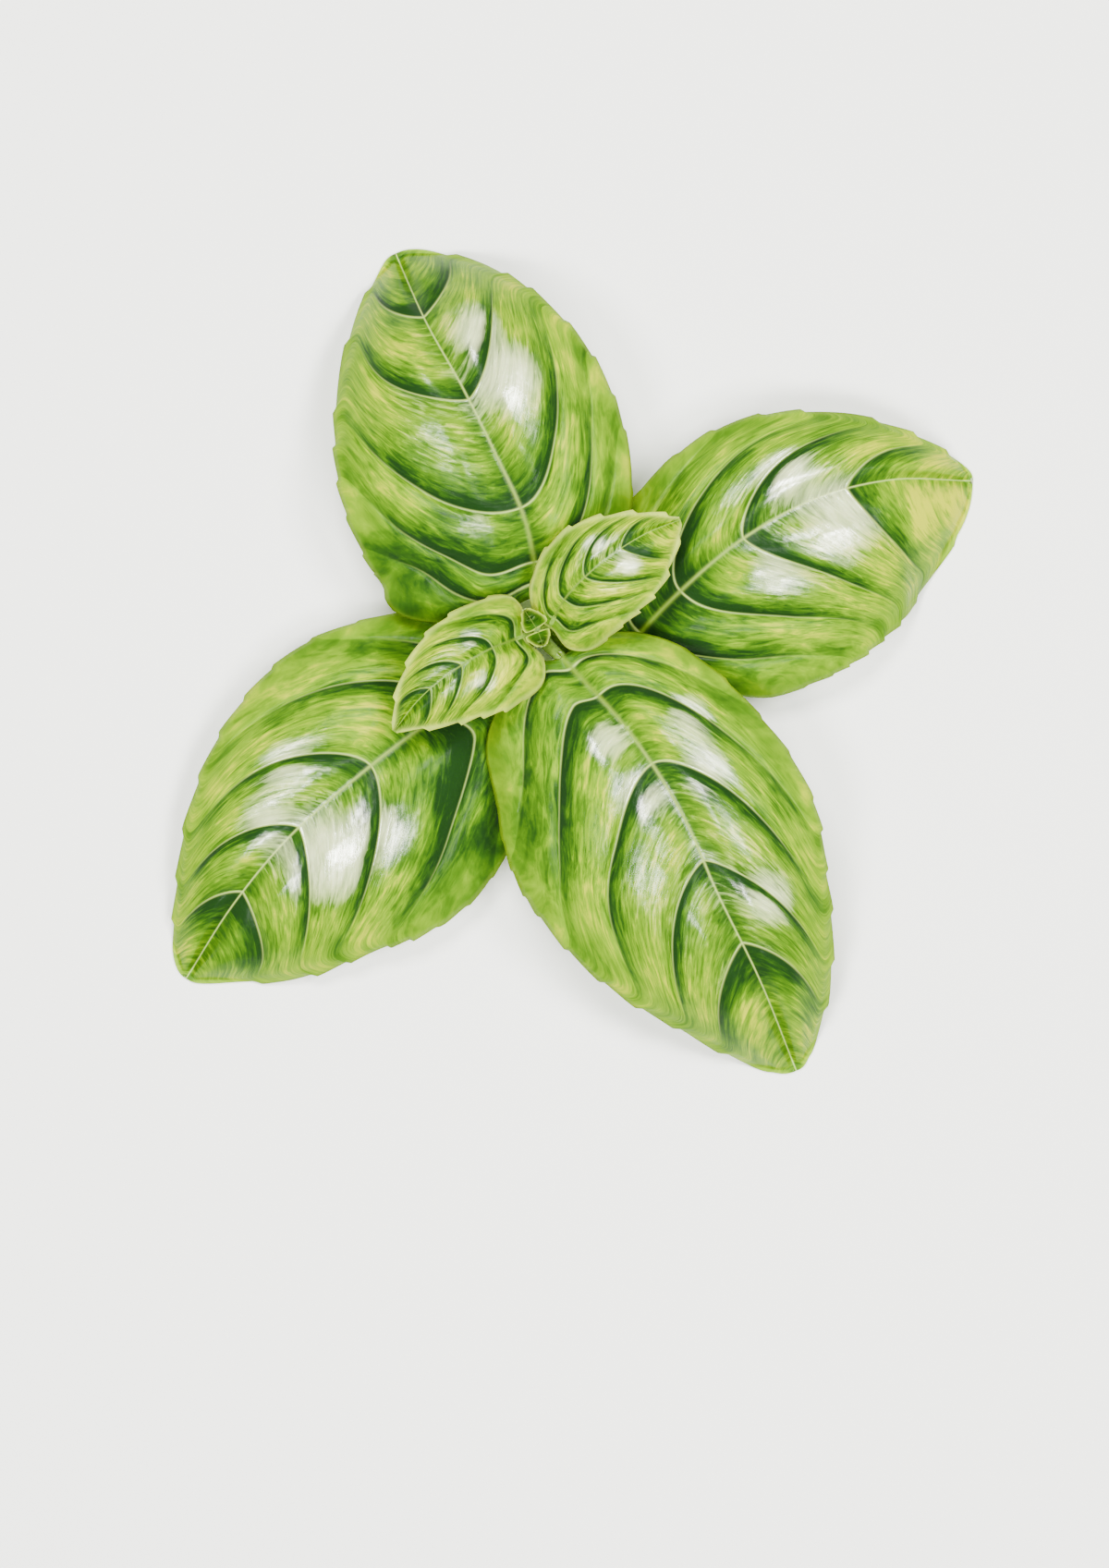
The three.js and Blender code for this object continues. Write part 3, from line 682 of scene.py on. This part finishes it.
# each kind of leaf with its stalks' two radii and how far the cords run on, as shares of the midrib
for leaves, thick, thin, run_on in (
    (LARGE_LEAVES, 1.1, 0.68, (0.02, 0.09, 0.17, 0.25)),
    (SMALL_LEAVES, 0.65, 0.42, (0.03, 0.1, 0.18, 0.26)),
):
    for node, leaf in leaves.items():
        stalk = grow_stalk(node + "_stalk", leaf, thick, thin, run_on)
        stalk.data.materials.append(stem_skin)
        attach(stalk, "root")
        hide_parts(node)


# The stem: square with hollow faces, swollen where each pair of leaves leaves it, and cut straight
# across at the bottom, where the pale pith shows inside a thin green rind.
STEM_BOTTOM, STEM_TOP = 0.4, 21.6
STEM_RADII = (2.1, 1.0)
NODE_HEIGHTS = (5.6, 12.6, 19.4)
STEM_CORNER = math.radians(60)
CUT_RADIUS = 2.2
mesh = bmesh.new()
bmesh.ops.create_grid(mesh, x_segments=90, y_segments=48, size=1)
for vert in mesh.verts:
    u = (vert.co.x + 1) / 2
    angle = (vert.co.y + 1) * math.pi
    z = STEM_BOTTOM + (STEM_TOP - STEM_BOTTOM) * u
    radius = STEM_RADII[0] + (STEM_RADII[1] - STEM_RADII[0]) * u
    radius += sum(0.5 * math.exp(-((z - height) / 1.2) ** 2) for height in NODE_HEIGHTS)
    radius *= 1 + 0.1 * math.cos(4 * (angle - STEM_CORNER))
    radius *= 1 - 0.4 * smooth((u - 0.93) / 0.07)
    vert.co = AXIS + Vector((radius * math.cos(angle), radius * math.sin(angle), z)) * MM
close_tube(mesh, 0.005)
for face in mesh.faces:
    face.material_index = int(len(face.verts) > 4 and face.calc_center_median().z < 1 * MM)
stem = add_piece("stem_shaft", mesh)
stem.data.materials.append(stem_skin)
cut_end = new_material("cut_basil_stem")
tree = cut_end.node_tree
where = add_node(tree, "ShaderNodeTexCoord").outputs["Object"]
centred = add_node(tree, "ShaderNodeVectorMath", {"operation": "SUBTRACT"}, {
    0: where, 1: (AXIS.x, AXIS.y, 0)}).outputs[0]
flat = add_node(tree, "ShaderNodeVectorMath", {"operation": "MULTIPLY"}, {
    0: centred, 1: (1, 1, 0)}).outputs[0]
off_axis = add_node(tree, "ShaderNodeVectorMath", {"operation": "LENGTH"}, {0: flat}).outputs["Value"]
outwards = add_node(tree, "ShaderNodeMath", {"operation": "DIVIDE"}, {
    0: off_axis, 1: CUT_RADIUS * MM}).outputs[0]
rings = add_node(tree, "ShaderNodeValToRGB", inputs={"Fac": outwards})
shade_steps(rings, [(0.0, "#E2E6BE"), (0.6, "#D2DCA0"), (0.78, "#9DB860"), (1.0, "#6F9234")])
skin = add_node(tree, "ShaderNodeBsdfPrincipled", inputs={
    "Base Color": rings.outputs["Color"], "Roughness": 0.35})
add_node(tree, "ShaderNodeOutputMaterial", inputs={"Surface": skin.outputs[0]})
stem.data.materials.append(cut_end)
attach(stem, "root")
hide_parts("stem")


# The surface: a plain, smooth, warm off-white table.
mesh = bmesh.new()
bmesh.ops.create_grid(mesh, x_segments=1, y_segments=1, size=3)
floor = add_piece("floor", mesh)
table = bpy.data.materials.new("plain_offwhite_table")
table.use_nodes = True
table_top = table.node_tree.nodes["Principled BSDF"]
table_top.inputs["Base Color"].default_value = colour("#FBFBF4")
table_top.inputs["Roughness"].default_value = 0.9
floor.data.materials.append(table)


# Soft studio light: four softboxes high around the sprig, the one at the back strongest, and a dim pale
# room. Each is a place and a power in watts, and is turned towards the middle of the sprig.
SOFTBOX_SIZE = 0.28
SPRIG_MIDDLE = Vector((0, 0, 0.01))
for name, place, watts in (
    ("back_softbox", (-0.14, 0.38, 0.9), 13.5),
    ("right_softbox", (0.4, 0.12, 0.9), 10.5),
    ("front_softbox", (0.22, -0.36, 0.9), 10.5),
    ("left_softbox", (-0.3, -0.28, 0.9), 10.5),
):
    lamp = bpy.data.lights.new(name, "AREA")
    lamp.shape = "SQUARE"
    lamp.size = SOFTBOX_SIZE
    lamp.energy = watts
    box = bpy.data.objects.new(name, lamp)
    box.location = place
    box.rotation_euler = (SPRIG_MIDDLE - Vector(place)).to_track_quat("-Z", "Y").to_euler()
    bpy.context.scene.collection.objects.link(box)

room = bpy.data.worlds.new("pale_room")
room.use_nodes = True
room.node_tree.nodes["Background"].inputs["Color"].default_value = (1, 1, 1, 1)
room.node_tree.nodes["Background"].inputs["Strength"].default_value = 0.15
bpy.context.scene.world = room
